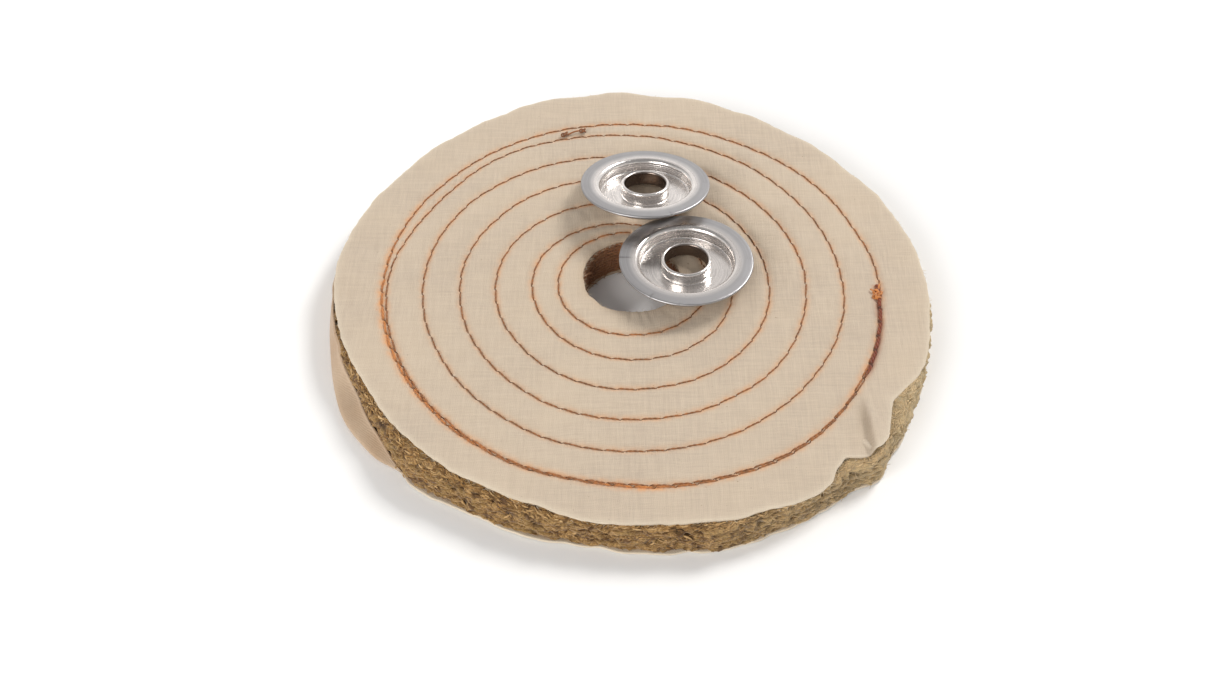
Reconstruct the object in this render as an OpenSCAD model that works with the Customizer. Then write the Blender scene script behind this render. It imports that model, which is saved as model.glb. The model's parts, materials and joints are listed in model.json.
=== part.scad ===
// Spiral-sewn felt polishing wheel with two loose reducing flanges.
// Millimetres, +Z up. The origin is on the wheel's axis, at the underside of the rear cover.
// The wheel lies flat on its rear cover and both flanges lie on its front cover.

/* [Wheel] */
// Outside diameter of the wheel
wheel_d = 178; // [176:1:190]
// Diameter of the hole through the middle, which takes a flange's hub from each side
hole_d = 30.8; // [30.4:0.1:32]
// Thickness of each cloth cover
cover_t = 0.8; // [0.8:0.1:1.2]
// Thickness of one felt ply
ply_t = 0.9; // [0.8:0.1:1.2]
// Number of felt plies between the covers
ply_count = 10; // [8:1:12]
// How far every second ply is worn back from the rim
ply_wear = 0.8; // [0.2:0.1:1.5]

/* [Seam] */
// Radius of the seam's first turn, next to the hole
first_row_r = 22.6; // [21.5:0.1:23.5]
// Radius of the seam's second turn
second_row_r = 30; // [29:0.5:31]
// Distance between the turns from the second one outwards
row_pitch = 11; // [9:0.5:11]
// Number of full turns
row_count = 6; // [3:1:6]
// Diameter of the sewing thread
thread_d = 0.6; // [0.4:0.1:0.6]
// Distance from the last turn to the half turn that locks it
lock_gap = 1.6; // [1.4:0.1:2]

/* [Flange] */
// Outside diameter of a flange
flange_d = 40.4; // [39:0.2:42]
// Outside diameter of a flange's hub, which enters the wheel's hole
hub_d = 30; // [29:0.2:30]
// Bore of a flange, for a half-inch arbor
bore_d = 12.8; // [12.2:0.1:13.2]
// Thickness of the pressed sheet
sheet_t = 0.9; // [0.7:0.1:1]
// Depth of the hub from the rim's upper face to the hub's underside
hub_h = 5; // [4.6:0.1:5.4]

/* [Resting place] */
// Where the front flange lies, to the right of the wheel's axis
front_x = 16; // [14:0.5:18]
// Where the front flange lies, behind the wheel's axis
front_y = 4.6; // [3:0.2:5]
// How much the front flange's near edge is raised, in degrees
front_tilt = 3.5; // [2:0.5:4]
// Where the rear flange lies, to the right of the wheel's axis
rear_x = 4.2; // [3:0.2:5]
// Where the rear flange lies, behind the wheel's axis
rear_y = 36.2; // [36.2:0.2:37]
// How much the rear flange's near edge is raised, in degrees
rear_tilt = 11.8; // [11.6:0.1:14]

/* [Hidden] */
$fn = 96;

// Wheel
wheel_r = wheel_d / 2;
hole_r = hole_d / 2;
wheel_t = 2 * cover_t + ply_count * ply_t;
cut_extra = 1;

// The cloth at the rim is torn back in one place on the front cover
tear_r = 9;
tear_depth = 3.5;
tear_angle = -48;

// Seam: the thread lies sunk in a groove of the cover, clear of its walls and floor
thread_r = thread_d / 2;
thread_sink = 0.02;
groove_gap = 0.05;
groove_w = thread_d + 2 * groove_gap;
groove_depth = thread_d + 2 * thread_sink;

// Flange: radii of the bends in the pressed sheet, measured on their inner side
sheet_r = sheet_t / 2;
bend_r = 0.6;
collar_bend_r = 0.3;
lip_r = 0.6;
flange_r = flange_d / 2;
hub_r = hub_d / 2;
bore_r = bore_d / 2;

// Gap left between a flange and the cloth or the other flange that it rests on
rest_gap = 0.35;

PLIES = [for (i = [1 : ply_count]) str("core_ply_", i < 10 ? "0" : "", i)];

// Radius of turn i of the seam on the half of the wheel nearest the viewer
function row_r(i) = i == 0 ? first_row_r : second_row_r + (i - 1) * row_pitch;
// Radius of the last half turn, which is sewn beside the last full turn to lock it
lock_r = row_r(row_count - 1) + lock_gap;
// Radius of the half turn that follows turn i
function next_r(i) = i < row_count - 1 ? row_r(i + 1) : lock_r;

// Height of a resting flange's rim: its hub's lowest point is rest_gap above the cloth
function rest_z(tilt) = wheel_t + rest_gap + hub_h * cos(tilt) + (hub_r - bend_r - sheet_t) * sin(tilt);

// Flat ring with its underside at z = 0
module disc(r, t) {
    difference() {
        cylinder(r = r, h = t);
        translate([0, 0, -cut_extra])
            cylinder(r = hole_r, h = t + 2 * cut_extra);
    }
}

// One half turn about a centre on the X axis, of the 2-D section drawn about its own origin.
// The near half runs through -Y and the far half through +Y.
module half_turn(centre_x, r, far) {
    translate([centre_x, 0, 0])
        rotate([0, 0, far ? 0 : 180])
            rotate_extrude(angle = 180)
                translate([r, 0])
                    children();
}

// The spiral: near half turns share the wheel's axis, and each far half turn steps out to the next one.
// It starts with a quarter turn beside the hole and ends with the locking half turn.
module spiral() {
    rotate([0, 0, 90])
        rotate_extrude(angle = 90)
            translate([first_row_r, 0])
                children();
    for (i = [0 : row_count - 1]) {
        half_turn(0, row_r(i), false) children();
        half_turn((row_r(i) - next_r(i)) / 2, (row_r(i) + next_r(i)) / 2, true) children();
    }
    half_turn(0, lock_r, false) children();
}

// Sewing thread laid along the spiral, with its centre line at height z
module seam_thread(z) {
    translate([0, 0, z])
        spiral() circle(r = thread_r, $fn = 24);
}

// Groove along the spiral, with its floor at height z and open upwards
module seam_groove(z) {
    translate([0, 0, z])
        spiral()
            translate([-groove_w / 2, 0])
                square([groove_w, groove_depth + cut_extra]);
}

// A quarter bend of the sheet: inner radius r, turned so that it fills one quadrant of its centre
module bend(centre, r, turn) {
    translate(centre)
        rotate(turn)
            intersection() {
                difference() {
                    circle(r = r + sheet_t);
                    circle(r = r);
                }
                square(r + sheet_t);
            }
}

// Upright or level stretch of the sheet between two corners
module run(low, high) {
    translate(low) square(high - low);
}

// Half section of a flange, with its axis at x = 0 and the rim's upper face at y = 0
module flange_section() {
    wall_in = hub_r - sheet_t;
    floor_top = -hub_h + sheet_t;
    collar_out = bore_r + sheet_t;
    // rim with a rounded edge
    run([hub_r + bend_r, -sheet_t], [flange_r - sheet_r, 0]);
    translate([flange_r - sheet_r, -sheet_r]) circle(r = sheet_r);
    // rim turns down into the hub's wall
    bend([hub_r + bend_r, -sheet_t - bend_r], bend_r, 90);
    run([wall_in, floor_top + bend_r], [hub_r, -sheet_t - bend_r]);
    // wall turns inwards into the hub's floor
    bend([wall_in - bend_r, floor_top + bend_r], bend_r, 270);
    run([collar_out + collar_bend_r, -hub_h], [wall_in - bend_r, floor_top]);
    // floor turns up into the collar round the bore
    bend([collar_out + collar_bend_r, floor_top + collar_bend_r], collar_bend_r, 180);
    run([bore_r, floor_top + collar_bend_r], [collar_out, -lip_r]);
    // rolled lip
    translate([bore_r + lip_r, -lip_r]) circle(r = lip_r);
}

// Flange resting at (x, y), with its near edge raised by tilt
module resting_flange(x, y, tilt) {
    translate([x, y, rest_z(tilt)])
        rotate([-tilt, 0, 0])
            rotate_extrude()
                flange_section();
}

module rear_cover() {
    color("wheat")
        difference() {
            disc(wheel_r, cover_t);
            translate([0, 0, groove_depth]) mirror([0, 0, 1]) seam_groove(0);
        }
}

module core_ply(i) {
    color(i % 2 == 0 ? "darkkhaki" : "tan")
        translate([0, 0, cover_t + (i - 1) * ply_t])
            disc(i % 2 == 0 ? wheel_r - ply_wear : wheel_r, ply_t);
}

module front_cover() {
    color("wheat")
        translate([0, 0, wheel_t - cover_t])
            difference() {
                disc(wheel_r, cover_t);
                rotate([0, 0, tear_angle])
                    translate([wheel_r + tear_r - tear_depth, 0, -cut_extra])
                        cylinder(r = tear_r, h = cover_t + 2 * cut_extra);
                seam_groove(cover_t - groove_depth);
            }
}

module needle_thread() {
    color("chocolate") seam_thread(wheel_t - thread_r - thread_sink);
}

module bobbin_thread() {
    color("peru") seam_thread(thread_r + thread_sink);
}

module front_flange() {
    color("silver") resting_flange(front_x, front_y, front_tilt);
}

module rear_flange() {
    color("gainsboro") resting_flange(rear_x, rear_y, rear_tilt);
}

rear_cover();
for (i = [1 : ply_count]) {
    core_ply(i);
}
front_cover();
needle_thread();
bobbin_thread();
front_flange();
rear_flange();
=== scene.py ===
"""Looks of the spiral-sewn polishing wheel and its two loose flanges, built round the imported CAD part.

Shapes are worked out in millimetres in the row frame and written to the meshes in metres.
Angles are measured round the wheel's axis, anticlockwise from +X as seen from the front cover.
"""

import json
import math

import bpy
import numpy as np
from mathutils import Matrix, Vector


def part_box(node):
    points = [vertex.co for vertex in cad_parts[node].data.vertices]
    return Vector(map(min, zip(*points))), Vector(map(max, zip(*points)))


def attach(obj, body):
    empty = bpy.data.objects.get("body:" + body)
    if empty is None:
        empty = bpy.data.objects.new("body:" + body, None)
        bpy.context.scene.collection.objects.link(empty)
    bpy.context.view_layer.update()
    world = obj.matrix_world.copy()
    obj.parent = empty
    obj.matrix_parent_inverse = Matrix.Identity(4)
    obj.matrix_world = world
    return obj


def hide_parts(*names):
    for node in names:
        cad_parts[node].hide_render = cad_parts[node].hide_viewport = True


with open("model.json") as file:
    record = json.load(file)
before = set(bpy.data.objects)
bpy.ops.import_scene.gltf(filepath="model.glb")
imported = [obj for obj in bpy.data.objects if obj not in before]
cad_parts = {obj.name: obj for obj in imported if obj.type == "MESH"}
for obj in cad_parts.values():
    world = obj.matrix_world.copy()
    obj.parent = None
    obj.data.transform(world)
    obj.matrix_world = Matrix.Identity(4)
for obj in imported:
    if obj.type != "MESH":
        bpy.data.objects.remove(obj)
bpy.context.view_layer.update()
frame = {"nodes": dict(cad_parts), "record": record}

MM = 0.001
TURN = 2 * math.pi
UP = np.array([0, 0, 1.0])

# Sizes read from the CAD part
WHEEL_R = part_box("rear_cover")[1].x / MM
WHEEL_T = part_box("front_cover")[1].z / MM
COVER_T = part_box("rear_cover")[1].z / MM
PLIES = sorted(name for name in frame["nodes"] if name.startswith("core_ply"))
PLY_T = (WHEEL_T - 2 * COVER_T) / len(PLIES)
MOUNTS = {mount["name"]: mount for mount in frame["record"]["mounts"]}
HOLE_R = MOUNTS["wheel_hole"]["dims"]["r_mm"]

# Seam, as in the CAD part
FIRST_ROW_R = 22.6
SECOND_ROW_R = 30
ROW_PITCH = 11
ROW_COUNT = 6
LOCK_R = SECOND_ROW_R + (ROW_COUNT - 2) * ROW_PITCH + 1.6
THREAD_R = 0.3
STITCH = 5.75

# Flange section, as in the CAD part
SHEET_T = 0.9
FLANGE_R = 20.2
HUB_R = 15
HUB_H = 5
BORE_R = 6.4
BEND_R = 0.6
COLLAR_BEND_R = 0.3
LIP_R = 0.6
BORE_MIDDLE = -2.2

# Angle of the front cover's tear, how far out the rear cover is flat, how round the front cover's edges
# are, and the length of thread in half a twist
TEAR_AT = -49.8
FLAT_R = 86.5
ROLL_R = 0.25
TWIST = 1.5

# Mesh density
COVER_COLUMNS = 768
COVER_ROWS = 110
COVER_BACK_ROWS = 10
PLY_COLUMNS = 1200
FLANGE_COLUMNS = 360
KNOT_STEPS = 60

# Cloth simulation: grid, frames, enlargement, spare width of the cloth, how near the seam it is held, its
# first height, the share of its swell that is used, and the cap on the swell
SIM_ROWS = 56
SIM_COLUMNS = 400
SIM_FRAMES = 20
SIM_SCALE = 100
SPARE_CLOTH = 0.01
HELD_WIDTH = 0.8
START_HEIGHT = 0.25
SWELL_SHARE = 0.55
SWELL_CAP = 0.8


# ---- shaping helpers


def ease(t):
    """0 below 0, 1 above 1 and a smooth rise between."""
    t = np.clip(t, 0, 1)
    return t * t * (3 - 2 * t)


def between(grid, i, j, f, g):
    """Value of a grid that wraps round, the share f past row i and the share g past column j."""
    rows, columns = grid.shape
    i, j, below, beside = i % rows, j % columns, (i + 1) % rows, (j + 1) % columns
    near = grid[i, j] * (1 - f) + grid[below, j] * f
    far = grid[i, beside] * (1 - f) + grid[below, beside] * f
    return near * (1 - g) + far * g


def noise(u, v, cells, seed):
    """Smooth noise from -1 to 1 over a patch that repeats each time u or v grows by 1."""
    grid = np.random.default_rng(seed).uniform(-1, 1, cells)
    u, v = np.asarray(u) * cells[0], np.asarray(v) * cells[1]
    i, j = np.floor(u).astype(int), np.floor(v).astype(int)
    return between(grid, i, j, ease(u - i), ease(v - j))


def ripple(theta, count, seed):
    """Noise round the wheel with about count swells in a turn."""
    return noise(np.asarray(theta) / TURN, 0.0, (count, 1), seed)


def field(x, y, size, seed):
    """Noise over the wheel's face with swells of about size mm."""
    patch = 256
    return noise(x / patch, y / patch, (round(patch / size), round(patch / size)), seed)


def bell(x, width):
    """1 at x = 0, dying away over about width on each side."""
    return np.exp(-((x / width) ** 2))


def fade(x, reach):
    """1 up to x = 0, dying away over about reach beyond it."""
    return np.exp(-np.maximum(x, 0) / reach)


def bump(theta, at, width):
    """1 at the angle at, dying away over about width on each side, both in degrees."""
    return bell((np.degrees(theta) - at + 180) % 360 - 180, width)


def swells(theta, *bumps):
    """Bumps added up, each given by its height, its angle and its width."""
    return sum(height * bump(theta, at, width) for height, at, width in bumps)


def round_turn(count):
    """Angles spread evenly round a turn."""
    return np.arange(count) / count * TURN


def on_face(radius, theta):
    """X and Y from radii and angles."""
    return radius * np.cos(theta), radius * np.sin(theta)


def polar(radius, theta, z):
    """Points from their radii, angles and heights."""
    radius, theta, z = np.broadcast_arrays(radius, theta, z)
    return np.stack([*on_face(radius, theta), z], -1)


def unit(vectors):
    """Vectors of length 1 in the same directions."""
    return vectors / np.maximum(np.linalg.norm(vectors, axis=-1, keepdims=True), 1e-9)


# ---- mesh helpers


def build(name, points, face_sets, marks):
    """Smooth mesh object from points in mm, arrays of faces and one number per point for each mark."""
    mesh = bpy.data.meshes.new(name)
    mesh.vertices.add(len(points))
    mesh.vertices.foreach_set("co", (points * MM).astype(np.float32).ravel())
    corners = np.concatenate([faces.ravel() for faces in face_sets]).astype(np.int32)
    sizes = np.concatenate([np.full(len(faces), faces.shape[1]) for faces in face_sets])
    mesh.loops.add(len(corners))
    mesh.loops.foreach_set("vertex_index", corners)
    mesh.polygons.add(len(sizes))
    mesh.polygons.foreach_set("loop_start", (np.cumsum(sizes) - sizes).astype(np.int32))
    mesh.polygons.foreach_set("use_smooth", np.ones(len(sizes), bool))
    mesh.update(calc_edges=True)
    for key, values in marks.items():
        layer = mesh.attributes.new(key, "FLOAT", "POINT")
        layer.data.foreach_set("value", np.asarray(values, np.float32).ravel())
    made = bpy.data.objects.new(name, mesh)
    bpy.context.scene.collection.objects.link(made)
    return made


def grid_faces(rows, columns, close_rows):
    """Quads of a grid numbered row by row, closed across its columns."""
    r, c = np.meshgrid(np.arange(rows if close_rows else rows - 1), np.arange(columns), indexing="ij")
    below, beside = (r + 1) % rows, (c + 1) % columns
    quads = [r * columns + c, below * columns + c, below * columns + beside, r * columns + beside]
    return np.stack(quads, -1).reshape(-1, 4)


def build_ring(name, points, marks):
    """Closed ring: points[row, column] with rows round its section and columns round the axis."""
    rows, columns = points.shape[:2]
    return build(name, points.reshape(-1, 3), [grid_faces(rows, columns, True)], marks)


def tube_rings(centres, radii, sides):
    """Rings of points round centre lines (lines, steps, 3) with radii (lines, steps)."""
    along = unit(np.gradient(centres, axis=1))
    upright = np.abs(along[..., 2:].mean(1, keepdims=True)) > 0.8
    reference = np.where(upright, np.array([1.0, 0, 0]), UP)
    side = unit(np.cross(along, np.broadcast_to(reference, along.shape)))
    up = np.cross(side, along)
    phi = round_turn(sides)
    spokes = np.cos(phi)[:, None] * side[:, :, None] + np.sin(phi)[:, None] * up[:, :, None]
    return centres[:, :, None] + radii[:, :, None, None] * spokes


def build_tubes(name, centres, radii, sides, marks):
    """One mesh of closed tubes. marks hold one number per line, or one per step of each line."""
    lines, steps = centres.shape[:2]
    rings = tube_rings(centres, radii, sides)
    first = np.arange(lines)[:, None, None] * steps * sides
    walls = (grid_faces(steps, sides, False) + first).reshape(-1, 4)
    start_caps = (np.arange(sides) + first).reshape(-1, sides)
    end_caps = ((steps - 1) * sides + np.arange(sides)[::-1] + first).reshape(-1, sides)
    spread = {}
    for key, values in marks.items():
        values = np.asarray(values, float)
        values = values if values.ndim == 2 else values[:, None]
        spread[key] = np.broadcast_to(values[:, :, None], (lines, steps, sides))
    return build(name, rings.reshape(-1, 3), [walls, start_caps, end_caps], spread)


def finish(piece, body, material, node=None):
    """Gives a piece its material, its body and the CAD node that it stands for."""
    piece.data.materials.append(material)
    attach(piece, body)
    if node:
        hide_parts(node)
    return piece


# ---- seam

# Radii of the seam's rows on the near side, from the hole outwards, and last of the locking run
ROWS = [FIRST_ROW_R, *(SECOND_ROW_R + i * ROW_PITCH for i in range(ROW_COUNT - 1)), LOCK_R]


def seam_arcs():
    """The spiral's arcs in sewing order: centre on the X axis, radius, first angle and sweep."""
    arcs = [(0, ROWS[0], math.pi / 2, math.pi / 2)]
    for row, after in zip(ROWS, ROWS[1:]):
        arcs.append((0, row, math.pi, math.pi))
        arcs.append(((row - after) / 2, (row + after) / 2, 0, math.pi))
    return arcs + [(0, LOCK_R, math.pi, math.pi)]


ARCS = seam_arcs()
ARC_STARTS = np.cumsum([0] + [radius * sweep for _, radius, _, sweep in ARCS])
SEAM_LENGTH = ARC_STARTS[-1]
LAST_NEAR_START, LAST_FAR_START, LOCK_START = ARC_STARTS[-4:-1]
TIE_START = SEAM_LENGTH - 40


def seam_noise(s, count, seed):
    """Noise along the seam with about count swells in its whole length."""
    return noise(s / SEAM_LENGTH, 0.0, (count, 1), seed)


def seam_wander(s):
    """How far the sewn line strays outwards from its arc. The locking run closes up to the last turn."""
    beside = np.where(s > LOCK_START, s - LOCK_START + LAST_NEAR_START, s)
    stray = 0.3 * seam_noise(beside, 96, 11) + 0.12 * seam_noise(s, 300, 12)
    pulls = [
        (-1.9, ARC_STARTS[1] + 37, 24),
        (-2.3, LAST_NEAR_START - 38, 26),
        (0.5, LOCK_START - 10, 45),
        (2.1, LAST_NEAR_START + 163, 34),
        (2.1, LOCK_START + 167, 34),
    ]
    sway = sum(amount * bell(s - at, reach) for amount, at, reach in pulls)
    closed = 1.0 * ease((s - LAST_FAR_START) / 30) + 1.4 * ease((s - SEAM_LENGTH + 30) / 30)
    return stray + sway - closed


def seam_points(s):
    """Points of the sewn line at distances s along it, and the directions pointing outwards there."""
    index = np.clip(np.searchsorted(ARC_STARTS, s, side="right") - 1, 0, len(ARCS) - 1)
    centre, radius, start, _ = np.array(ARCS).T
    angle = start[index] + (s - ARC_STARTS[index]) / radius[index]
    out = np.stack([np.cos(angle), np.sin(angle)], -1)
    middle = np.stack([centre[index], np.zeros(len(s))], -1)
    return middle + (radius[index] + seam_wander(s))[:, None] * out, out


def seam_field(x, y):
    """Distance from the nearest sewn line, positive outside it, and the place along the seam."""
    nearest, along = np.full(x.shape, 1e3), np.zeros(x.shape)
    for (centre, radius, start, sweep), begin in zip(ARCS, ARC_STARTS):
        angle = np.arctan2(y, x - centre) % TURN
        s = begin + radius * (angle - start)
        away = np.hypot(x - centre, y) - radius - seam_wander(np.clip(s, begin, begin + radius * sweep))
        closer = (angle >= start) & (angle <= start + sweep) & (np.abs(away) < np.abs(nearest))
        nearest[closer], along[closer] = away[closer], s[closer]
    return nearest, along


def needle_distance(s):
    """Distance along the seam from the nearest needle hole."""
    return np.abs((s / STITCH + 0.5) % 1 - 0.5) * STITCH


def thread_strength(s):
    """How thick and bright the thread lies: most of all at the left, where the locking run begins."""
    patches = 0.5 + 0.5 * seam_noise(s, 60, 13)
    begun = bell(s - LOCK_START - 8, 48) + 0.9 * bell(s - LOCK_START - 118, 12)
    paired = ease((s - LAST_NEAR_START) / 20) * ease((LAST_FAR_START - s) / 20) + ease((s - LOCK_START) / 20)
    return 0.12 + 0.2 * patches + 0.5 * begun + paired * (0.08 + 0.14 * patches)


def tied(s):
    """1 on the last stretch of the locking run, which is pulled tight and stained dark red."""
    return ease((s - TIE_START) / 6)


# ---- outlines


def front_rim(theta):
    """Edge of the front cover: long at the left and far side, short at the near side, torn at its right."""
    edge = 88.5 + swells(theta, (2.1, 176, 20), (1.9, 104, 24), (-2.1, 42, 24), (-2.9, -143, 30))
    edge += swells(theta, (-2.4, -111, 15), (-1.6, -84, 12), (2.6, -58, 9), (1.0, -75, 12))
    edge += swells(theta, (-2.6, -31.5, 5.5), (2.9, -42, 5), (0.8, -20, 6))
    edge += 0.28 * ripple(theta, 70, 21) + 0.16 * ripple(theta, 260, 22)
    return edge - bump(theta, TEAR_AT, 3.0) * (3.2 + 0.9 * ripple(theta, 150, 23))


def front_hole(theta):
    """Edge of the front cover's hole: worn back on the far side, reaching inwards on the near side."""
    edge = HOLE_R + swells(theta, (3.3, 105, 42), (-4.1, -92, 72))
    return edge + 0.24 * ripple(theta, 22, 24) + 0.12 * ripple(theta, 70, 25)


def core_rim(theta):
    """Edge of the felt core: it bulges out at the near right and the near left."""
    edge = 88.2 + swells(theta, (2.3, -74, 11), (2.9, -57, 9), (3.5, -44.5, 3.5), (3.0, -37, 9))
    edge += swells(theta, (1.6, -21, 10), (-0.5, -150, 26), (0.9, 176, 20), (0.9, 104, 24))
    edge += swells(theta, (-2.6, 45, 30), (2.6, -134, 8))
    return edge + 0.5 * ripple(theta, 44, 26) + 0.3 * ripple(theta, 120, 27)


def lumps(theta, z):
    """Matted yarn ends standing out of the core's edge."""
    clumps = 1 - 2 * np.abs(noise(theta / TURN, z / 40, (230, 22), 31))
    ends = noise(theta / TURN, z / 40, (600, 80), 32)
    return 0.8 * clumps + 0.34 * ends


# ---- sewn-down cloth


def give_cloth(sheet):
    """Cotton held at its vertex group "sewn" and cut too wide, so that it buckles between the rows."""
    cloth = sheet.modifiers.new("cloth", "CLOTH")
    cloth.point_cache.frame_end = SIM_FRAMES
    cloth.collision_settings.use_collision = False
    settings = cloth.settings
    settings.vertex_group_mass = "sewn"
    settings.effector_weights.gravity = 0
    settings.shrink_min = -SPARE_CLOTH
    settings.mass = 0.3
    settings.bending_stiffness = 1.0


def settled_heights(sheet):
    """Heights in mm of the cloth's points when the simulation has run."""
    for number in range(1, SIM_FRAMES + 1):
        bpy.context.scene.frame_set(number)
    settled = sheet.evaluated_get(bpy.context.evaluated_depsgraph_get())
    places = np.empty(len(sheet.data.vertices) * 3, np.float32)
    settled.data.vertices.foreach_get("co", places)
    bpy.data.objects.remove(sheet)
    bpy.context.scene.frame_set(1)
    return places.reshape(SIM_ROWS, SIM_COLUMNS, 3)[..., 2] / MM


def sewn_puckers():
    """Heights over a grid of the front cover, from a cloth simulation of a sheet held along its seam."""
    theta = round_turn(SIM_COLUMNS)
    share = np.linspace(0, 1, SIM_ROWS)[:, None]
    radius = front_hole(theta) * (1 - share) + front_rim(theta) * share
    x, y = on_face(radius, theta)
    held = np.abs(seam_field(x, y)[0]) < HELD_WIDTH
    start = np.where(held, 0.0, START_HEIGHT * (1 + field(x, y, 8, 46)))
    points = polar(radius, theta, start).reshape(-1, 3)
    sheet = build("sewn_cloth", points, [grid_faces(SIM_ROWS, SIM_COLUMNS, False)], {})
    sheet.scale = (SIM_SCALE, SIM_SCALE, SIM_SCALE)
    sheet.vertex_groups.new(name="sewn").add(np.flatnonzero(held).tolist(), 1.0, "REPLACE")
    give_cloth(sheet)
    heights = np.pad(settled_heights(sheet), 1, "edge")
    heights[:, 0], heights[:, -1] = heights[:, -2], heights[:, 1]
    smooth = (heights[:-2] + 2 * heights[1:-1] + heights[2:]) / 4
    return (smooth[:, :-2] + 2 * smooth[:, 1:-1] + smooth[:, 2:]) / 4


PUCKERS = sewn_puckers()


def pucker_height(x, y):
    """Simulated height of the front cover between its seam rows."""
    theta = np.arctan2(y, x)
    inner, outer = front_hole(theta), front_rim(theta)
    row = np.clip((np.hypot(x, y) - inner) / (outer - inner), 0, 1) * (SIM_ROWS - 1)
    column = theta / TURN % 1 * SIM_COLUMNS
    i = np.minimum(row.astype(int), SIM_ROWS - 2)
    return between(PUCKERS, i, column.astype(int), row - i, column - np.floor(column))


# ---- covers


def under_flange(x, y):
    """1 where a loose flange lies on the cover, 0 away from it."""
    pressed = 0
    for name in ("front_flange_bore", "rear_flange_bore"):
        place = np.array(MOUNTS[name]["pos_m"]) / MM
        pressed = np.maximum(pressed, 1 - ease((np.hypot(x - place[0], y - place[1]) - HUB_R) / 5))
    return pressed


def crease(x, y):
    """Fold of the front cover that runs in from its torn edge: its height, and a painted shade along its
    foot.
    """
    foot, head = np.array([65.6, -61.0]), np.array([65.2, -43.0])
    run = head - foot
    along = ((x - foot[0]) * run[0] + (y - foot[1]) * run[1]) / (run @ run)
    right = ((x - foot[0]) * run[1] - (y - foot[1]) * run[0]) / np.linalg.norm(run)
    taper = ease((1.15 - along) / 0.8) * ease((along + 0.7) / 0.6)
    raised = ease((right + 2.1) / 2.0) * fade(right, 5.0)
    height = taper * (2.3 * raised - 0.35 * bell(right + 2.3, 1.0))
    # Painted shade: a dark band along the foot of the fold, on the side that faces away from the light
    spread = np.where(right > -1.2, 0.6, 0.9 + 1.8 * np.clip(along, 0, 1))
    return height, taper * bell(right + 1.2, spread)


def front_relief(x, y):
    """Height of the front cover's upper side over its nominal level."""
    away, s = seam_field(x, y)
    side = np.where(away > 0, 0.25, 0.75)
    valley = bell(away, 1.6)
    puckers = noise(s / SEAM_LENGTH, side, (620, 2), 41) * bell(away, 3.0)
    holes = bell(needle_distance(s), 0.9) * bell(away, 0.8)
    swell = 0.14 * field(x, y, 30, 42) + 0.05 * field(x, y, 9, 43)
    height = 0.12 - 0.42 * valley + 0.13 * puckers - 0.22 * holes + swell * (1 - 0.7 * valley)
    height += SWELL_SHARE * np.minimum(pucker_height(x, y), SWELL_CAP) * (1 - bell(away, 2.0))
    height += crease(x, y)[0]
    pressed = under_flange(x, y)
    return height * (1 - pressed) + np.minimum(height, 0.15) * pressed


def front_edge_lift(theta, inset):
    """The border outside the last row is loose: it flutes gently and its edge curls."""
    loose = np.exp(-inset / 5)
    flutes = 0.25 * ripple(theta, 26, 44) + 0.1 * ripple(theta, 75, 45)
    torn = 0.8 * bump(theta, TEAR_AT, 4) * np.exp(-inset / 2.5)
    return loose * flutes - 0.35 * np.exp(-inset / 1.2) + torn


def front_top(x, y):
    """Height of the front cover's upper side."""
    theta, radius = np.arctan2(y, x), np.hypot(x, y)
    sag = swells(theta, (-0.5, -98, 40), (-0.45, 105, 40)) - 0.15
    lift = front_edge_lift(theta, np.maximum(front_rim(theta) - radius, 0))
    return WHEEL_T + front_relief(x, y) + lift + sag * fade(radius - front_hole(theta), 1.6)


def cloth_marks(x, y, rim_inset, hole_inset):
    """Marks for the cloth's colours: dye and stain at the seam, painted shade at the crease, and its worn
    edges.
    """
    away, s = seam_field(x, y)
    strength = thread_strength(s)
    return {
        "dye": bell(away, 0.9 + 0.7 * strength) * (0.22 + 0.75 * strength),
        "stain": bell(away, 1.1) * tied(s),
        "painted_crease_shade": crease(x, y)[1],
        "rim": fade(rim_inset, 0.7),
        "hole": fade(hole_inset, 1.3),
    }


def front_cover_cloth():
    """The front cover: upper side, rolled rim, lower side and rolled edge of the hole.
    Its lower side is flat on the core, but follows the upper side at the two loose edges."""
    theta, half = round_turn(COVER_COLUMNS), COVER_T / 2
    inner, outer = front_hole(theta), front_rim(theta)
    span, roll = outer - inner - 2 * ROLL_R, np.radians([60, 20, -20, -60])[:, None]
    top_r = inner + ROLL_R + span * np.linspace(0, 1, COVER_ROWS)[:, None]
    rim_r = outer - ROLL_R + ROLL_R * np.cos(roll)
    low_r = inner + ROLL_R + span * np.linspace(1, 0, COVER_BACK_ROWS)[:, None]
    hole_r = inner + ROLL_R - ROLL_R * np.cos(roll)
    top_z = front_top(*on_face(top_r, theta))
    loose = np.maximum(np.exp(-(outer - low_r) / 3), np.exp(-(low_r - inner) / 2))
    low_z = (WHEEL_T - COVER_T) * (1 - loose) + (front_top(*on_face(low_r, theta)) - COVER_T) * loose
    rim_z = top_z[-1:] - half + half * np.sin(roll)
    hole_z = top_z[:1] - half - half * np.sin(roll)
    radius = np.concatenate([top_r, rim_r, low_r, hole_r])
    points = polar(radius, theta, np.concatenate([top_z, rim_z, low_z, hole_z]))
    marks = cloth_marks(points[..., 0], points[..., 1], outer - radius, radius - inner)
    return build_ring("front_cover_cloth", points, marks)


def flap(theta):
    """Where the rear cover wraps up round the core, 0 to 1, and how high its lip stands there."""
    degrees = np.degrees(theta) % 360
    share = ease((degrees - 164) / 14) * ease((229 - degrees) / 11)
    return share, 1.6 + 3.6 * ease((226 - degrees) / 20) + 4.0 * ease((207 - degrees) / 12)


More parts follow.
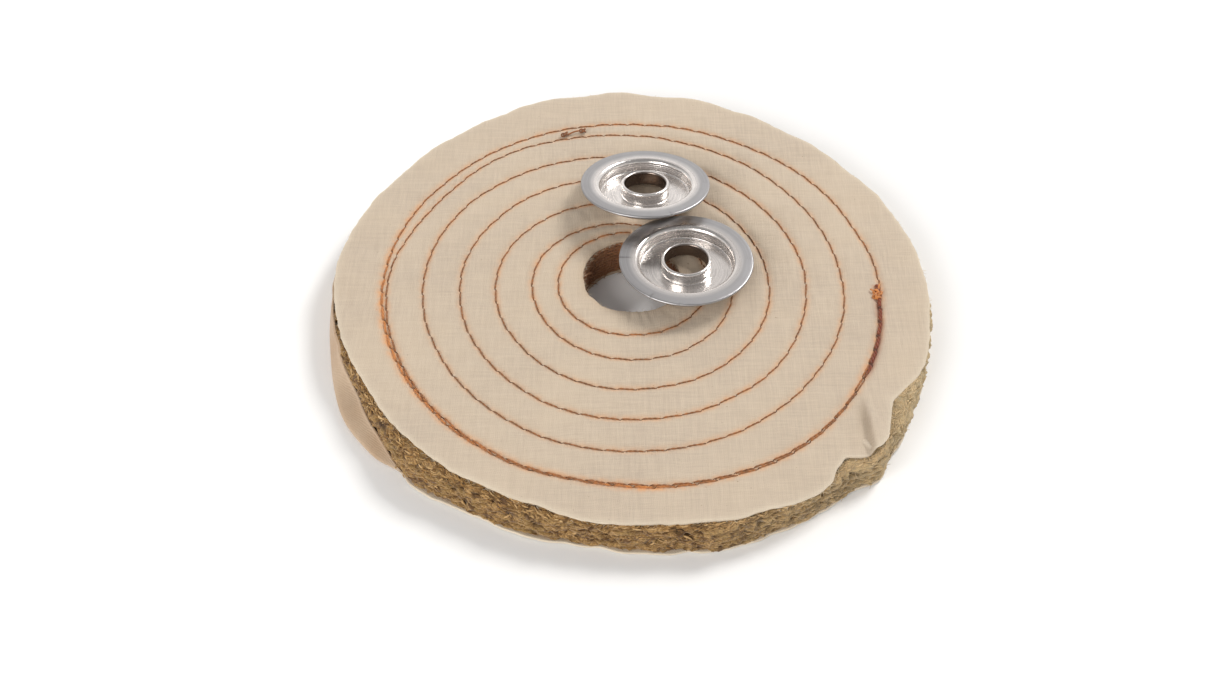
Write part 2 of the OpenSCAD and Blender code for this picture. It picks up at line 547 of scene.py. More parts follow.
def plain_border(theta, q):
    """Radius and height of the rear cover's border under the core; q runs from 0 to 1 across it."""
    end = core_rim(theta) + 0.5 + 0.7 * bump(theta, -122, 18)
    end += 0.4 * ripple(theta, 40, 52) + 0.2 * ripple(theta, 200, 53)
    z = COVER_T / 2 + 0.25 * ease(q) * (1 + ripple(theta, 30, 54))
    return np.stack([FLAT_R + (end - FLAT_R) * q, z], -1)


def wrapped_border(theta, q):
    """The same for a border that bellies out beyond the core and wraps up round its edge."""
    belly = 90.8 + 3.0 * bump(theta, -150.5, 14) + 0.25 * ripple(theta, 50, 55)
    lip_z = flap(theta)[1] + 0.25 * ripple(theta, 60, 56)
    lip_r = core_rim(theta) + 0.55 + 0.15 * ripple(theta, 48, 57)
    outwards = FLAT_R + (belly - FLAT_R) * np.sin(q * math.pi * 0.5 / 0.45)
    radius = np.where(q < 0.45, outwards, belly + (lip_r - belly) * ease((q - 0.45) / 0.55))
    climb = (np.maximum(q - 0.2, 0) / 0.8) ** 1.25
    return np.stack([radius, COVER_T / 2 + 0.3 * q + (lip_z - COVER_T / 2) * climb], -1)


def rounded_strip(middle, half):
    """Closed section round a sheet's middle line: upper side, rounded rim, lower side, rounded inner end."""
    slope = unit(np.gradient(middle, axis=0))
    normal = np.stack([-slope[..., 1], slope[..., 0]], -1)
    top, bottom = middle + half * normal, middle - half * normal
    outwards, inwards = unit(middle[-1] - middle[-2]) * 0.2, np.array([-0.2, 0])
    shares = (0.75, 0.5, 0.25)
    rim = [top[-1] * w + bottom[-1] * (1 - w) + outwards * math.sin(w * math.pi) for w in shares]
    end = [bottom[0] * w + top[0] * (1 - w) + inwards * math.sin(w * math.pi) for w in shares]
    return np.concatenate([top, rim, bottom[::-1], end])


def rear_cover_cloth():
    """The rear cover, flat under the core, with part of its border wrapped up as a flap."""
    theta = round_turn(COVER_COLUMNS)
    half = COVER_T / 2
    hole = HOLE_R + 0.15 * ripple(theta, 60, 51)
    flat_r = hole + (FLAT_R - hole) * np.linspace(0, 1, 62)[:, None]
    q = np.linspace(0, 1, 17)[1:, None]
    turned = flap(theta)[0][:, None]
    border = plain_border(theta, q) * (1 - turned) + wrapped_border(theta, q) * turned
    middle = np.concatenate([np.stack(np.broadcast_arrays(flat_r, half), -1), border])
    section = rounded_strip(middle, half)
    radius, z = section[..., 0], section[..., 1]
    points = polar(radius, theta, z)
    x, y = points[..., 0], points[..., 1]
    groove = 0.5 * bell(seam_field(x, y)[0], 1.1) + 0.06 * (1 + field(x, y, 10, 58))
    below = np.arange(len(section))[:, None] > len(middle)
    points[..., 2] += np.where(below & (z < half), groove, 0)
    points[..., 2] = np.maximum(points[..., 2], 0.01)
    turned = turned[:, 0]
    marks = cloth_marks(x, y, middle[-1, :, 0] - radius + 9 * turned, radius - hole)
    # Where the flap's cloth is darkened, partly as soil and partly as painted shade
    marks["flap"] = turned * ease((radius - 86) / 3)
    return build_ring("rear_cover_cloth", points, marks)


# ---- core


def ply_boundary(index, radius, theta):
    """Height of the face below ply index; neighbouring plies share it, so that they never cross."""
    level = COVER_T + index * PLY_T
    loose = ease((radius - 78) / 9)
    wave = noise(theta / TURN, radius / 100, (230, 50), 60 + index)
    low, high = (0.0, 0.25) if index == 0 else (-0.3, 0.0) if index == len(PLIES) else (-0.28, 0.28)
    return level + loose * (low + (high - low) * (0.5 + 0.5 * wave))


def ply_hole(height, theta):
    """Radius of the hole through the core, worn wider towards the front on the far side."""
    worn = np.maximum(front_hole(theta) - HOLE_R, 0) * np.clip(height / WHEEL_T, 0, 1) ** 1.5
    rough = 0.22 * ripple(theta, 34, 71) + 0.14 * noise(theta / TURN, height / 40, (110, 50), 72)
    return HOLE_R + 0.1 + worn + rough


def core_wall(index, theta, z):
    """Radius of a ply's edge; every second ply is worn back."""
    worn = 0.4 * (index % 2) + 0.35 * ripple(theta, 60, 80 + index)
    return core_rim(theta) - worn + lumps(theta, z)


def felt_ply(index, name):
    """One ply of the core, from its uneven edge to the hole."""
    theta = round_turn(PLY_COLUMNS)
    shares = np.array([0.012, 0.05, 0.5, 0.86, 0.91, 0.94, 0.965, 0.985])[:, None]
    heights = np.array([0.95, 0.75, 0.5, 0.25, 0.05])[:, None]

    def face(side, values):
        level = ply_boundary(index + side, WHEEL_R, theta)
        rim, hole = core_wall(index, theta, level), ply_hole(level, theta)
        radius = hole + (rim - hole) * values
        inset = 0.03 if side == 0 else -0.03
        return radius, ply_boundary(index + side, radius, theta) + inset

    low, high = ply_boundary(index, WHEEL_R, theta), ply_boundary(index + 1, WHEEL_R, theta)
    wall_z = low + (high - low) * heights
    wall_r = core_wall(index, theta, wall_z) - 0.2 * (2 * heights - 1) ** 4
    hole_z = COVER_T + PLY_T * (index + 1 - heights[1:-1]) + 0 * theta
    top_r, top_z = face(1, shares)
    low_r, low_z = face(0, shares[::-1])
    radius = np.concatenate([top_r, wall_r, low_r, ply_hole(hole_z, theta)])
    z = np.concatenate([top_z, wall_z, low_z, hole_z])
    marks = {
        # Painted shade: darker where the lumps of the edge sink in
        "crevice_shade": np.clip(0.5 - 0.75 * lumps(theta, z), 0, 1) * ease((radius - 80) / 6),
        # Near the hole: reddish stain, partly painted shade of the hole's wall
        "hole": fade(radius - ply_hole(z, theta), 2.5),
    }
    return build_ring(name, polar(radius, theta, z), marks)


def strand_lines(rng, theta, radius, z, length, outward, rise, steps):
    """Centre lines of loose strands that start at the given places and trail round the wheel."""
    count = len(theta)
    out = polar(1.0, theta, 0.0)
    way = np.where(rng.random(count) < 0.5, -1.0, 1.0)[:, None]
    round_wheel = polar(1.0, theta + math.pi / 2, 0.0) * way
    heading = round_wheel + out * outward[:, None] + UP * rise[:, None]
    bend = out * rng.uniform(-1.4, 0.2, count)[:, None]
    bend = bend + UP * rng.uniform(-1.3, 1.2, count)[:, None]
    t = np.linspace(0, 1, steps)[None, :, None]
    start = polar(radius, theta, z)[:, None]
    lines = start + length[:, None, None] * (unit(heading)[:, None] * t + 0.5 * bend[:, None] * t * t)
    lines[..., 2] = np.clip(lines[..., 2], 0.5, WHEEL_T - COVER_T)
    return lines


def build_strands(name, rng, starts, runs, thickness, taper, sides, **fixed):
    """Piece of loose strands, from their angles, radii and heights, and from their lengths and how far
    they head outwards and upwards."""
    lines = strand_lines(rng, *starts, *runs, len(taper))
    count = len(lines)
    size = rng.uniform(*thickness, count)
    marks = {"tone": rng.uniform(0, 1, count)}
    marks.update({key: np.full(count, value) for key, value in fixed.items()})
    return build_tubes(name, lines, size[:, None] * np.array(taper), sides, marks)


def core_strands(name, seed, count, thickness, lengths, poke, sides):
    """Yarn ends or single fibres that stand out of the core's edge where no flap hides it."""
    rng = np.random.default_rng(seed)
    theta, z = rng.uniform(0, TURN, count), rng.uniform(1.0, WHEEL_T - 0.9, count)
    shows = z >= np.prod(flap(theta), 0)
    theta, z = theta[shows], z[shows]
    count = len(theta)
    radius = core_rim(theta) + 0.6 * lumps(theta, z) - rng.uniform(0.5, 1.1, count)
    runs = rng.uniform(*lengths, count), rng.uniform(0.05, poke, count), rng.normal(0, 0.9, count)
    taper = 0.35 + 0.65 * np.sin(np.linspace(0.25, math.pi - 0.25, 5))
    return build_strands(name, rng, (theta, radius, z), runs, thickness, taper, sides, hole=0)


def bare_ply_strands():
    """Yarn ends lying on the top ply where the front cover stops short of the core's edge."""
    rng = np.random.default_rng(105)
    theta = rng.uniform(0, TURN, 3600)
    gap = core_rim(theta) - front_rim(theta)
    theta, gap = theta[gap > 0.8], gap[gap > 0.8]
    count = len(theta)
    radius = front_rim(theta) - 0.5 + gap * rng.uniform(0, 1, count)
    starts = theta, radius, np.full(count, WHEEL_T - COVER_T - 0.1)
    runs = rng.uniform(1.0, 2.8, count), rng.uniform(-0.5, 0.5, count), np.zeros(count)
    taper = [0.5, 0.9, 1, 0.8, 0.4]
    return build_strands("core_top_yarns", rng, starts, runs, (0.08, 0.26), taper, 6, hole=0)


def hole_strands():
    """Fibres on the wall of the hole."""
    rng, count = np.random.default_rng(103), 900
    theta, z = rng.uniform(0, TURN, count), rng.uniform(1.0, WHEEL_T - 1.0, count)
    starts = theta, ply_hole(z, theta) + 0.1, z
    runs = rng.uniform(1.2, 3.2, count), rng.uniform(-0.35, 0, count), rng.normal(0, 0.3, count)
    taper = [0.8, 1, 0.9, 0.7, 0.3]
    return build_strands("core_hole_fibres", rng, starts, runs, (0.07, 0.16), taper, 4, hole=1)


def cloth_fray():
    """Fine cotton ends along the front cover's rim and hole."""
    rng, count = np.random.default_rng(104), 1500
    theta, at_hole = rng.uniform(0, TURN, count), rng.random(count) < 0.2
    radius = np.where(at_hole, front_hole(theta) + 0.2, front_rim(theta) - 0.25)
    z = front_top(*on_face(radius, theta)) - rng.uniform(0.2, 0.6, count)
    length = rng.uniform(0.5, 1.7, count)
    outward = np.where(at_hole, rng.uniform(-0.9, -0.1, count), rng.uniform(0.2, 2.5, count))
    runs = length, outward, rng.normal(-0.1, 0.25, count)
    taper = [1, 1, 0.9, 0.7, 0.35]
    return build_strands("cover_fray", rng, (theta, radius, z), runs, (0.035, 0.07), taper, 3)


# ---- thread


def twisted(centre, out, s, radius):
    """Two plies twisted round a centre line, with their radii."""
    turn = s / TWIST * TURN / 2
    sideways = np.concatenate([out, np.zeros((len(s), 1))], -1)
    plies = []
    for phase in (0, math.pi):
        swing = np.cos(turn + phase)[:, None] * sideways + np.sin(turn + phase)[:, None] * UP
        plies.append(centre + 0.45 * radius[:, None] * swing)
    return np.stack(plies), np.stack([0.62 * radius, 0.62 * radius])


def needle_thread_cord():
    """The thread on the front cover: it dips into the cloth at every needle hole."""
    s = np.arange(0, SEAM_LENGTH, 0.36)
    flat, out = seam_points(s)
    slant = 0.16 * (((s / STITCH) % 1) - 0.5) * 2
    flat = flat + slant[:, None] * out
    strength, tie, dip = thread_strength(s), tied(s), bell(needle_distance(s), 0.6)
    radius = THREAD_R * (0.7 + 0.5 * strength + 1.1 * tie)
    z = front_top(flat[:, 0], flat[:, 1]) + 0.62 * radius - 0.28 * dip * (1 - 0.7 * tie)
    buried = 1 - ease(np.minimum(s, SEAM_LENGTH - s))
    centre = np.concatenate([flat, (z - 0.8 * buried)[:, None]], -1)
    lines, radii = twisted(centre, out, s, radius)
    # dip also darkens the thread there, as painted shade
    marks = {key: np.stack([mark, mark]) for key, mark in (("tone", strength), ("red", tie), ("dip", dip))}
    return build_tubes("needle_thread_cord", lines, radii, 6, marks)


def bobbin_thread_cord():
    """The thread on the rear cover, sunk in the cloth that the wheel lies on."""
    s = np.arange(0, SEAM_LENGTH, 0.5)
    flat, out = seam_points(s)
    z = 0.28 + 0.25 * bell(needle_distance(s), 0.6)
    lines, radii = twisted(np.concatenate([flat, z[:, None]], -1), out, s, np.full(len(s), 0.24))
    marks = {"tone": np.full(lines.shape[:2], 0.35), "red": np.zeros(lines.shape[:2])}
    return build_tubes("bobbin_thread_cord", lines, radii, 5, marks)


def knot_line(x, y, turned, length, width):
    """Trefoil pulled flat on the cloth, or where it has no width, a cut end that rises and leans over."""
    t = np.linspace(0, 1, KNOT_STEPS)
    along, across, lift = length * t, 0 * t, 0.25 + 0.6 * np.sin(t * 2.4)
    if width:
        t = t * TURN
        along = (np.cos(t) - 2 * np.cos(2 * t)) / 3 * length / 2
        across = (np.sin(t) + 2 * np.sin(2 * t)) / 3 * width / 2
        lift = 0.75 - 0.38 * np.sin(3 * t)
    cos, sin = math.cos(math.radians(turned)), math.sin(math.radians(turned))
    px, py = x + along * cos - across * sin, y + along * sin + across * cos
    under = (x + 0 * t, y + 0 * t) if width else (px, py)
    return np.stack([px, py, front_top(*under) + lift], -1)


def thread_knots():
    """The tie-off at the right, and the knotted ends on the far side of the outermost turn."""
    # Place, angle in degrees, length, width, thickness, tone and redness of each
    knots = [
        (73.0, -4.4, 80, 3.6, 2.6, 0.38, 0.9, 0.0),
        (72.7, -5.4, 20, 2.6, 2.0, 0.34, 0.8, 0.1),
        (73.2, -3.4, 75, 3.0, 0, 0.3, 0.9, 0.0),
        (72.3, -4.2, 140, 1.8, 0, 0.26, 0.8, 0.0),
        (-15.7, 69.3, 10, 2.2, 1.5, 0.28, 0.1, 0.3),
        (-21.6, 67.6, 25, 2.6, 1.4, 0.28, 0.1, 0.2),
        (-21.0, 67.8, 20, 4.5, 0, 0.26, 0.4, 0.1),
    ]
    lines = np.stack([knot_line(*knot[:5]) for knot in knots])
    thick, tone, red = np.array(knots).T[5:]
    ends = np.ones(KNOT_STEPS)
    ends[[0, -1]] = 0.6
    return build_tubes("thread_knots", lines, thick[:, None] * ends, 8, {"tone": tone, "red": red})


# ---- flanges


def flange_profile():
    """Closed section of a flange, from the rim's edge over its upper side to the bore and back below."""
    half = SHEET_T / 2
    wall_in, floor_top, collar_x = HUB_R - SHEET_T, SHEET_T - HUB_H, BORE_R + SHEET_T + COLLAR_BEND_R
    bend_y, inner_bend, collar_y = -SHEET_T - BEND_R, floor_top + BEND_R, floor_top + COLLAR_BEND_R
    climb = np.linspace(0, 1, 40)
    ridge_x = wall_in - 0.09 * np.sin(3 * math.pi * climb) ** 2
    ridges = np.stack([ridge_x, bend_y + (inner_bend - bend_y) * climb], -1)

    def arc(x, y, radius, first, last, steps=9):
        angle = np.radians(np.linspace(first, last, steps))[:, None]
        return np.array([x, y]) + radius * np.concatenate([np.cos(angle), np.sin(angle)], -1)

    # Each run of points, and how many points lie on the straight from it to the next run
    runs = [
        (arc(FLANGE_R - half, -half, half, -90, 90), 5),
        (arc(HUB_R + BEND_R, bend_y, BEND_R + SHEET_T, 90, 180, 12), 0),
        (ridges, 0),
        (arc(wall_in - BEND_R, inner_bend, BEND_R, 0, -90), 6),
        (arc(collar_x, collar_y, COLLAR_BEND_R, -90, -180, 6), 4),
        (arc(BORE_R + LIP_R, -LIP_R, LIP_R, 0, 180, 14), 4),
        (arc(collar_x, collar_y, COLLAR_BEND_R + SHEET_T, 180, 270), 4),
        (arc(wall_in - BEND_R, inner_bend, BEND_R + SHEET_T, -90, 0), 3),
        (arc(HUB_R + BEND_R, bend_y, BEND_R, 180, 90, 6), 4),
    ]
    outline = []
    for (run, count), (after, _) in zip(runs, runs[1:] + runs[:1]):
        share = np.linspace(0, 1, count + 2)[1:-1, None]
        outline += [run, run[-1] * (1 - share) + after[0] * share]
    return np.concatenate(outline)


def flange_dress(name, mount, seed, nicks):
    """Pressed flange round its bore's axis, with a slightly uneven rim.
    A nick is given by its angle in degrees, the radius where it starts and its depth."""
    outline = flange_profile()
    axis = Vector(MOUNTS[mount]["axis"])
    place = np.array(MOUNTS[mount]["pos_m"]) / MM - BORE_MIDDLE * np.array(axis)
    turn = np.array(Vector((0, 0, 1)).rotation_difference(axis).to_matrix())
    phi = round_turn(FLANGE_COLUMNS)
    radius, height = outline[:, :1] + 0 * phi, outline[:, 1:] + 0 * phi
    on_rim = ease((radius - HUB_R - 1) / 4)
    height = height + on_rim * (0.05 * ripple(phi, 5, seed) + 0.02 * ripple(phi, 17, seed + 1))
    nick = sum(depth * bump(phi, at, 0.9) * ease((radius - start) / 1.2) for at, start, depth in nicks)
    height = height - nick * (outline[:, 1:] > -SHEET_T / 2)
    radius = radius - 0.5 * nick * ease(radius - FLANGE_R + 1)
    points = polar(radius, phi, height) @ turn.T + place
    steps = np.linalg.norm(np.diff(outline, axis=0, prepend=outline[-1:]), axis=1)
    marks = {
        "ring": np.broadcast_to(np.cumsum(steps)[:, None], radius.shape),
        "turn": np.broadcast_to(phi, radius.shape),
        "rim": ease((radius - HUB_R - 0.2) / 2.6),
        # Where the bore's metal gets a brown painted reflection and painted shade
        "bore": ease((BORE_R + 0.5 - radius) / 0.4),
        "nick": np.clip(nick / 0.15, 0, 1),
    }
    return build_ring(name, points, marks)


# ---- materials


class Nodes:
    """A node tree under construction. Its colours are red, green and blue as they are seen, 0 to 255."""

    def __init__(self, tree):
        self.tree = tree

    def add(self, kind, inputs, **settings):
        node = self.tree.nodes.new("ShaderNode" + kind)
        for key, value in settings.items():
            setattr(node, key, value)
        for key, value in inputs.items():
            self.put(node.inputs[key], value)
        return node

    def put(self, socket, value):
        if isinstance(value, bpy.types.NodeSocket):
            self.tree.links.new(value, socket)
        else:
            socket.default_value = rgb(value) if socket.type == "RGBA" else value

    def maths(self, operation, first, second=0.0):
        return self.add("Math", {0: first, 1: second}, operation=operation).outputs[0]

    def times(self, first, second):
        return self.maths("MULTIPLY", first, second)

    def plus(self, first, second):
        return self.maths("ADD", first, second)

    def scaled(self, value, low, high, to_low=0.0, to_high=1.0):
        inputs = {"Value": value, "From Min": low, "From Max": high, "To Min": to_low, "To Max": to_high}
        return self.add("MapRange", inputs).outputs["Result"]


class Look(Nodes):
    """A procedural material under construction."""

    def __init__(self, name, **fixed):
        self.material = bpy.data.materials.new(name)
        self.material.use_nodes = True
        super().__init__(self.material.node_tree)
        self.surface = self.tree.nodes["Principled BSDF"]
        for key, value in fixed.items():
            self.surface.inputs[key.replace("_", " ")].default_value = value

    def mark(self, name, share=1.0):
        """A mark of the mesh, times a share."""
        found = self.add("Attribute", {}, attribute_name=name).outputs["Fac"]
        return found if share == 1.0 else self.times(found, share)

    def millimetres(self, turned=0.0, stretch=(1, 1, 1)):
        """The place on the object in mm, turned about Z, with each direction scaled."""
        place = self.add("TexCoord", {}).outputs["Object"]
        inputs = {"Vector": place, "Rotation": (0, 0, turned), "Scale": [s / MM for s in stretch]}
        return self.add("Mapping", inputs).outputs["Vector"]

    def painted_right_light(self):
        """Painted light: the core is paler towards the right, where the light falls."""
        across = self.add("SeparateXYZ", {0: self.millimetres()}).outputs["X"]
        return self.scaled(across, 15.0, 80.0, 0.0, 0.62)

    def noise(self, place, scale, detail=2.0, roughness=0.5, output="Fac"):
        inputs = {"Vector": place, "Scale": scale, "Detail": detail, "Roughness": roughness}
        return self.add("TexNoise", inputs).outputs[output]

    def vectors(self, operation, first, second):
        return self.add("VectorMath", {0: first, 1: second}, operation=operation).outputs[0]

    def warped(self, place, scale, detail, reach):
        """The place, pushed about by noise."""
        push = self.vectors("MULTIPLY", self.noise(place, scale, detail, output="Color"), reach)
        return self.vectors("ADD", place, push)

    def layered(self, colour, *layers):
        """A colour with others laid over it, each given by its share and its colour."""
        for share, over in layers:
            node = self.add("Mix", {0: share, 6: colour, 7: over}, data_type="RGBA")
            colour = node.outputs[2]
        return colour

    def bumps(self, height, distance, strength, under=None):
        """Normal of bumps of a height in mm, over another normal where one is given."""
        inputs = {"Height": height, "Distance": distance * MM, "Strength": strength}
        if under is not None:
            inputs["Normal"] = under
        return self.add("Bump", inputs).outputs["Normal"]

    def done(self, colour, roughness, normal):
        for key, value in (("Base Color", colour), ("Roughness", roughness), ("Normal", normal)):
            self.put(self.surface.inputs[key], value)
        return self.material


def rgb(seen):
    """A seen colour made linear."""
    linear = [c / 255 / 12.92 if c <= 10 else ((c / 255 + 0.055) / 1.055) ** 2.4 for c in seen]
    return (*linear, 1.0)


def plain_weave(look, place, pitch):
    """Height of a plain weave: warp and weft threads of one pitch, crossing over and under."""
    parts = look.add("SeparateXYZ", {0: place}).outputs
    x, y = (look.maths("DIVIDE", parts[axis], pitch) for axis in "XY")

    def threads(across, along, under, over):
        """Rounded threads side by side, each rising and sinking half a wave apart from the next."""
        rounded = look.maths("ABSOLUTE", look.maths("SINE", look.times(across, math.pi)))
        shift = look.times(look.maths("FLOOR", across), math.pi)
        wave = look.maths("SINE", look.plus(look.times(along, math.pi), shift))
        return look.times(rounded, look.scaled(wave, under, over, 0.35, 1))

    return look.maths("MAXIMUM", threads(x, y, -1, 1), threads(y, x, 1, -1))


def calico(name, turned, shaded_soiled_flap=False):
    """Unbleached plain-weave cotton with slubs, seed flecks, dye beside the seam and worn edges."""
    look = Look(name, Sheen_Weight=0.25, Sheen_Roughness=0.5, Specular_IOR_Level=0.25)
    place = look.millimetres(turned)
    weave = plain_weave(look, look.warped(place, 0.35, 1.0, (0.9, 0.9, 0)), 0.52)
    stretches = ((1.7, 0.09, 1), (0.09, 1.7, 1))
    slubs = look.plus(*(look.noise(look.millimetres(turned, s), 1.0, 3.0, 0.6) for s in stretches))
    blotch, fuzz = look.noise(place, 0.045, 3.0), look.noise(place, 6.0, 3.0, 0.7)
    flecks = look.scaled(look.noise(place, 1.1, 1.0), 0.76, 0.82)
    halo = look.scaled(look.noise(place, 0.45, 3.0), 0.35, 0.65, 0.35, 1.5)
    colour = look.layered(
        (200, 183, 162),
        (look.scaled(blotch, 0.35, 0.65), (190, 174, 156)),
        (look.scaled(slubs, 0.75, 1.25, 0.0, 0.7), (212, 196, 175)),
        (look.scaled(weave, 0.2, 0.9, 0.22, 0.0), (158, 134, 106)),
        (look.times(flecks, 0.5), (120, 92, 62)),
        (look.mark("dye", halo), (224, 166, 114)),
        (look.mark("stain", 0.7), (140, 70, 45)),
        (look.mark("rim", 0.55), (232, 219, 196)),
        (look.mark("hole", 0.45), (188, 160, 130)),
        # Painted shade along the foot of the crease
        (look.mark("painted_crease_shade", 0.55), (142, 123, 102)),
    )
    # The flap is darker: partly soil, partly painted shade of its side that faces down and away from the
    # light
    if shaded_soiled_flap:
        soil_and_shade = look.mark("flap", look.scaled(blotch, 0.3, 0.7, 0.45, 0.85))
        colour = look.layered(colour, (soil_and_shade, (178, 146, 114)))
    normal = look.bumps(slubs, 0.12, 0.6, look.bumps(weave, 0.09, 0.7))
    normal = look.bumps(fuzz, 0.06, 0.5, normal)
    return look.done(colour, look.scaled(fuzz, 0.3, 0.7, 0.82, 0.95), normal)


def core_felt():
    """Coarse matted fibre: lying tow in straw, olive and brown, with painted shade in its crevices, and
    darker and redder at the hole, partly stain and partly painted shade.
    """
    look = Look("core_felt", Sheen_Weight=0.2, Sheen_Roughness=0.6, Specular_IOR_Level=0.2)
    place = look.millimetres()
    flat = look.vectors("MULTIPLY", look.warped(place, 0.5, 2.0, (3.0, 3.0, 1.5)), (1.0, 1.0, 2.0))
    strands = look.noise(flat, 1.6, 4.0, 0.65)
    colour = look.layered(
        (108, 76, 38),
        (look.scaled(strands, 0.35, 0.65), (201, 160, 101)),
        (look.scaled(look.noise(place, 0.28, 2.0), 0.45, 0.65, 0.0, 0.5), (158, 128, 76)),
        (look.scaled(look.noise(flat, 0.42, 3.0, 0.6), 0.5, 0.62, 0.0, 0.85), (90, 58, 27)),
        # Painted shade in the crevices
        (look.scaled(look.mark("crevice_shade"), 0.45, 1.0, 0.0, 0.85), (72, 48, 24)),
        # Reddish stain at the hole, partly painted shade of the hole's wall
        (look.mark("hole", 0.85), (146, 94, 62)),
        # Painted light, paler at the right
        (look.painted_right_light(), (214, 194, 154)),
    )
    normal = look.bumps(look.noise(flat, 6.0, 3.0, 0.7), 0.15, 0.6, look.bumps(strands, 0.5, 0.8))
    return look.done(colour, look.scaled(strands, 0.3, 0.7, 0.95, 0.85), normal)


def core_fibre():
    """Single fibres and yarn ends of the core, each with its own tone."""
    look = Look("core_fibre", Sheen_Weight=0.15, Specular_IOR_Level=0.3)
    grain = look.noise(look.millimetres(0.0, (1, 1, 2.5)), 5.0, 3.0, 0.6)
    tone = look.mark("tone")
    colour = look.layered(
        (98, 66, 31),
        (look.scaled(tone, 0.0, 0.6), (172, 130, 74)),
        (look.scaled(tone, 0.6, 1.0), (218, 182, 130)),
        (look.scaled(grain, 0.35, 0.7, 0.0, 0.5), (134, 102, 56)),
        # Reddish stain at the hole, partly painted shade of the hole's wall
        (look.mark("hole", 0.8), (150, 100, 68)),
        # Painted light, paler at the right
        (look.painted_right_light(), (216, 196, 158)),
    )
    return look.done(colour, look.scaled(grain, 0.3, 0.7, 0.65, 0.9), look.bumps(grain, 0.12, 0.7))


def cotton_fibre():
    """Fine ends of the cover's cotton."""
    look = Look("cotton_fibre", Sheen_Weight=0.2, Specular_IOR_Level=0.2)
    grain = look.noise(look.millimetres(), 8.0, 2.0)
    worn = look.scaled(grain, 0.4, 0.8, 0.0, 0.4)
    colour = look.layered((206, 190, 164), (look.mark("tone"), (232, 220, 198)), (worn, (186, 164, 132)))
    return look.done(colour, 0.9, look.bumps(grain, 0.05, 0.5))


def waxed_thread(name):
    """Dyed twisted thread, from brown to bright orange, dark red where it is tied off, and darkened as
    painted shade where it dips into the needle holes.
    """
    look = Look(name, Sheen_Weight=0.1, Specular_IOR_Level=0.45)
    place = look.millimetres()
    worn, lay = look.noise(place, 0.9, 3.0, 0.6), look.noise(place, 9.0, 2.0, 0.6)
    tone = look.plus(look.mark("tone"), look.scaled(worn, 0.3, 0.7, -0.3, 0.3))
    colour = look.layered(
        (120, 82, 50),
        (look.scaled(tone, 0.0, 0.55), (178, 114, 64)),
        (look.scaled(tone, 0.5, 1.0), (216, 140, 74)),
        (look.mark("red", 0.8), (126, 50, 30)),
        (look.scaled(lay, 0.45, 0.8, 0.0, 0.5), (92, 60, 36)),
        # Painted shade where the thread dips into a needle hole
        (look.mark("dip", 0.75), (54, 36, 24)),
    )
    return look.done(colour, look.scaled(worn, 0.3, 0.7, 0.45, 0.7), look.bumps(lay, 0.08, 0.6))


def pressed_metal():
    """Bright plated pressed steel with drawing rings, a satin rim and dull nicks; round the bore a brown
    painted reflection and painted shade.
    """
    look = Look("pressed_metal", Metallic=1.0)
    spun = look.add("CombineXYZ", {0: look.mark("ring", 2.2), 1: look.mark("turn", 0.3)}).outputs[0]
    lines, bands = look.noise(spun, 1.4, 2.0, 0.6), look.noise(spun, 0.45, 1.0)
    cloud = look.noise(look.millimetres(), 0.25, 4.0, 0.6)
    scratch = look.scaled(look.noise(look.millimetres(0.6, (3.0, 0.25, 1)), 1.6, 2.0), 0.66, 0.72)
    colour = look.layered(
        (242, 237, 233),
        (look.scaled(cloud, 0.35, 0.7), (226, 221, 218)),
        (look.mark("rim", 0.85), (160, 160, 163)),
        (look.scaled(lines, 0.4, 0.7, 0.0, 0.3), (128, 125, 124)),
        # Painted reflection and shade: brown round the bore, as it mirrors the felt of the hole and lies in
        # shade
        (look.mark("bore", 0.85), (96, 76, 62)),
        (look.mark("nick", 0.7), (96, 94, 92)),
    )
    satin = look.scaled(look.mark("rim"), 0.0, 1.0, 0.22, 0.36)
    rough = look.plus(look.plus(satin, look.scaled(cloud, 0.3, 0.7, -0.03, 0.08)), look.times(scratch, 0.12))
    return look.done(colour, rough, look.bumps(lines, 0.004, 0.2, look.bumps(bands, 0.02, 0.35)))


def floor_paint():
    """Matt white, very slightly uneven."""
    look = Look("floor_paint", Specular_IOR_Level=0.1)
    grain = look.noise(look.millimetres(), 0.02, 3.0)
    colour = look.layered((251, 251, 251), (grain, (253, 253, 253)))
    return look.done(colour, 0.9, look.bumps(grain, 0.01, 0.1))


# ---- stage


def make_floor():
    """Broad pale disc, a hair below the wheel."""
    reach, depth = 1.0, 0.0001
    bpy.ops.mesh.primitive_circle_add(vertices=128, radius=reach, fill_type="NGON", location=(0, 0, -depth))
    floor = bpy.context.object
    floor.name = "floor"
    floor.data.materials.append(floor_paint())


def stand(name, data, place, target):
    """Puts a light or the camera at a place and turns it towards another."""
    thing = bpy.data.objects.new(name, data)
    thing.location = place
    thing.rotation_euler = (Vector(target) - thing.location).to_track_quat("-Z", "Y").to_euler()
    bpy.context.scene.collection.objects.link(thing)
    return thing


def area_light(name, place, size, power, colour):
    """Square light aimed at the middle of the wheel."""
    light = bpy.data.lights.new(name, "AREA")
    light.size, light.energy, light.color = size, power, colour
    stand(name, light, place, (0, 0, 0))


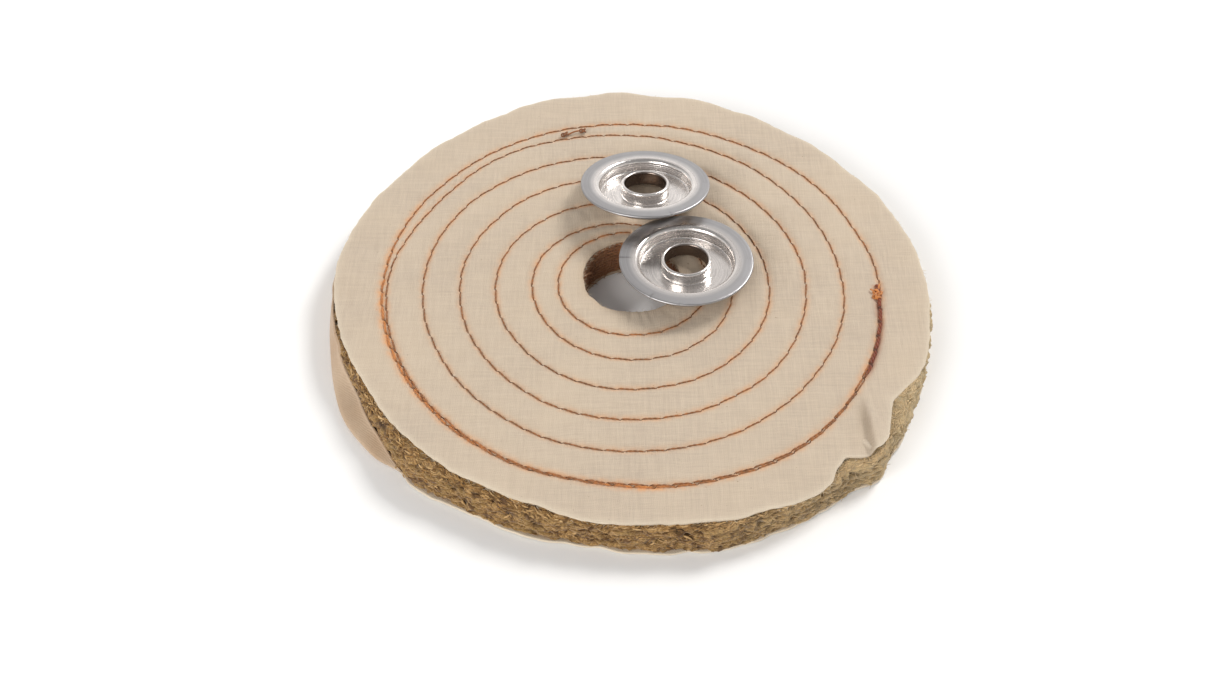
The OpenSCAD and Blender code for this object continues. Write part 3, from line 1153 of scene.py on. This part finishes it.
def make_lights():
    """Lights at the far right, beyond the wheel and at the near left, and a world paler at its horizon."""
    area_light("key_light", (1.2, 1.05, 1.45), 0.7, 31.0, (1.0, 0.985, 0.96))
    area_light("far_softbox", (-0.15, 1.35, 0.95), 1.5, 2.6, (1.0, 0.95, 0.92))
    area_light("near_fill", (-1.1, -1.3, 0.9), 1.2, 23.8, (1.0, 0.985, 0.96))
    world = bpy.data.worlds.new("studio")
    bpy.context.scene.world = world
    world.use_nodes = True
    sky, backing = Nodes(world.node_tree), world.node_tree.nodes["Background"]
    height = sky.add("SeparateXYZ", {0: sky.add("TexCoord", {}).outputs["Generated"]}).outputs["Z"]
    sky.put(backing.inputs["Strength"], sky.scaled(height, 0.1, 0.7, 0.9, 0.3))
    backing.inputs["Color"].default_value = (1.0, 0.99, 0.98, 1)
    bpy.context.scene.view_settings.view_transform = "Standard"


def make_camera():
    """Camera at the photograph's height above the wheel, a little left of its axis."""
    elevation, distance = math.radians(48.5), 433.2
    target = np.array([-7.76, -23.13, WHEEL_T])
    place = target + distance * np.array([0, -math.cos(elevation), math.sin(elevation)])
    lens = bpy.data.cameras.new("camera")
    lens.lens, lens.sensor_width, lens.clip_start = 44.25, 36, 0.01
    bpy.context.scene.camera = stand("camera", lens, place * MM, target * MM)


# ---- assembly


def make_wheel():
    """The covers and the core, with their loose ends."""
    front_cloth, rear_cloth = calico("front_calico", 0.12), calico("rear_calico", 0.7, True)
    felt, fibre, cotton = core_felt(), core_fibre(), cotton_fibre()

    front = finish(front_cover_cloth(), "wheel", front_cloth, "front_cover")
    rear = finish(rear_cover_cloth(), "wheel", rear_cloth, "rear_cover")
    for index, node in enumerate(PLIES):
        ply = felt_ply(index, node.replace("core_ply", "core_felt"))
        finish(ply, "wheel", felt, node)
    for strands in (
        core_strands("core_yarn_ends", 101, 3400, (0.14, 0.36), (1.0, 2.8), 0.5, 6),
        core_strands("core_fine_fibres", 102, 7500, (0.045, 0.09), (1.2, 3.4), 0.6, 3),
        hole_strands(),
        bare_ply_strands(),
    ):
        finish(strands, "wheel", fibre)
    fray = finish(cloth_fray(), "wheel", cotton)


def make_threads():
    """The lockstitch's two threads, and the knots of the upper one."""
    needle, bobbin = waxed_thread("needle_thread_dye"), waxed_thread("bobbin_thread_dye")
    finish(needle_thread_cord(), "wheel", needle, "needle_thread")
    finish(thread_knots(), "wheel", needle)
    finish(bobbin_thread_cord(), "wheel", bobbin, "bobbin_thread")


def make_flanges():
    """The two loose flanges, each with its own nicks."""
    metal = pressed_metal()
    front_nicks = [(178, 16.2, 0.12), (236, 18.0, 0.1), (262, 18.8, 0.06)]
    rear_nicks = [(292, 18.4, 0.08), (20, 18.9, 0.05)]
    for node, seed, nicks in (("front_flange", 111, front_nicks), ("rear_flange", 121, rear_nicks)):
        flange = flange_dress(node + "_pressing", node + "_bore", seed, nicks)
        finish(flange, node, metal, node)


make_floor()
make_lights()
make_camera()
make_wheel()
make_threads()
make_flanges()
